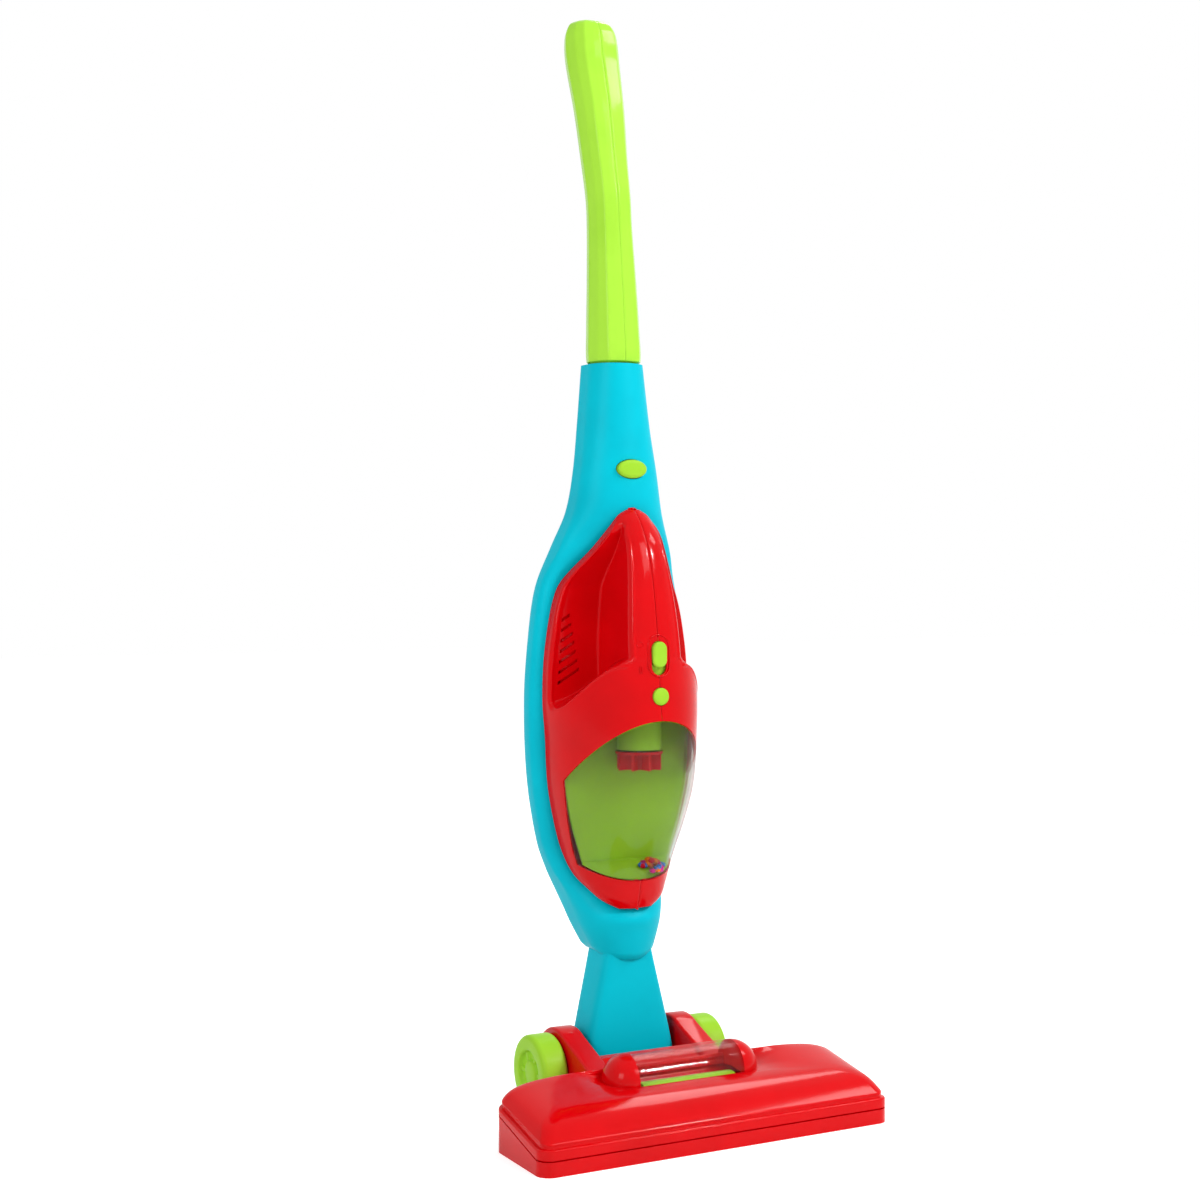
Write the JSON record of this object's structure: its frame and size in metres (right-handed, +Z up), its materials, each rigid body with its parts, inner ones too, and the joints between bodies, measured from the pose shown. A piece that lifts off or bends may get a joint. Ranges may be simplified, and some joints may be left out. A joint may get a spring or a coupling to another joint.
{
  "type": "toy vacuum cleaner",
  "caption": "Upright toy vacuum cleaner: wheeled floor head, leaning body with a long grip, and a handheld with a clear dust cup that lifts out of its cradle.",
  "frame": {"origin": "centre of the floor head's flat underside, on the floor", "axes": "+Z up, -Y to the front of the toy, +X to its own left as seen from behind"},
  "size_m": [0.22, 0.1717, 0.65],
  "materials": {
    "red_gloss": "gloss",
    "cyan_satin": "satin",
    "lime_gloss": "gloss",
    "clear_plastic": "gloss",
    "steel": "satin",
    "bits": "gloss",
    "board": "matt",
    "cells": "satin"
  },
  "bodies": {
    "head": {"head_base": "red_gloss", "head_top_cover": "red_gloss", "head_window": "clear_plastic", "window_end_domes": "red_gloss", "cover_bosses": "red_gloss", "left_cheek": "red_gloss", "right_cheek": "red_gloss", "wheel_axle": "steel", "head_screws": "steel"},
    "roller": {"brush_roller": "lime_gloss", "roller_pin": "steel"},
    "left_wheel": {"left_wheel": "lime_gloss"},
    "right_wheel": {"right_wheel": "lime_gloss"},
    "upright": {"neck_front": "cyan_satin", "neck_rear": "cyan_satin", "neck_pivot": "cyan_satin", "body_front_shell": "cyan_satin", "body_rear_shell": "cyan_satin", "body_bosses": "cyan_satin", "body_screws": "steel", "handle_left_half": "lime_gloss", "handle_right_half": "lime_gloss", "release_spring": "steel"},
    "release_button": {"release_button": "lime_gloss"},
    "handheld": {"vac_left_shell": "red_gloss", "vac_right_shell": "red_gloss", "dust_cup": "clear_plastic", "cup_liner": "lime_gloss", "motor_cover": "lime_gloss", "motor": "steel", "confetti": "bits", "switch_board": "board", "button_spring": "steel", "batteries": "cells", "battery_contacts": "steel", "battery_box": "red_gloss", "battery_door": "red_gloss", "door_screw": "steel"},
    "fan": {"fan": "red_gloss", "motor_shaft": "steel"},
    "slide_switch": {"slide_switch": "lime_gloss"},
    "round_button": {"round_button": "lime_gloss"}
  },
  "joints": [
    {"name": "recline", "type": "hinge", "parent": "head", "child": "upright", "pos_m": [0, 0.088, 0.0218], "axis": [-1, 0, 0], "range_deg": [0, 65]},
    {"name": "left_wheel_spin", "type": "hinge", "parent": "head", "child": "left_wheel", "pos_m": [-0.0536, 0.088, 0.0218], "axis": [1, 0, 0], "continuous": true},
    {"name": "right_wheel_spin", "type": "hinge", "parent": "head", "child": "right_wheel", "pos_m": [0.0536, 0.088, 0.0218], "axis": [1, 0, 0], "continuous": true},
    {"name": "roller_spin", "type": "hinge", "parent": "head", "child": "roller", "pos_m": [0, 0.01155, 0.0155], "axis": [1, 0, 0], "continuous": true},
    {"name": "release_press", "type": "slide", "parent": "upright", "child": "release_button", "axis": [0, 1, 0], "range_m": [0, 0.0025], "stiffness_N_per_m": 400, "springref_m": -0.001, "deforming": ["release_spring"]},
    {"name": "handheld_lift", "type": "slide", "parent": "upright", "child": "handheld", "axis": [0, -1, 0], "range_m": [0, 0.15]},
    {"name": "fan_spin", "type": "hinge", "parent": "handheld", "child": "fan", "pos_m": [0, 0.0665, 0.2], "axis": [0, 0, 1], "continuous": true},
    {"name": "switch_slide", "type": "slide", "parent": "handheld", "child": "slide_switch", "axis": [0, 0, -1], "range_m": [0, 0.004]},
    {"name": "button_press", "type": "slide", "parent": "handheld", "child": "round_button", "axis": [0, 1, 0], "range_m": [0, 0.0015], "stiffness_N_per_m": 500, "springref_m": -0.0008, "deforming": ["button_spring"]}
  ]
}
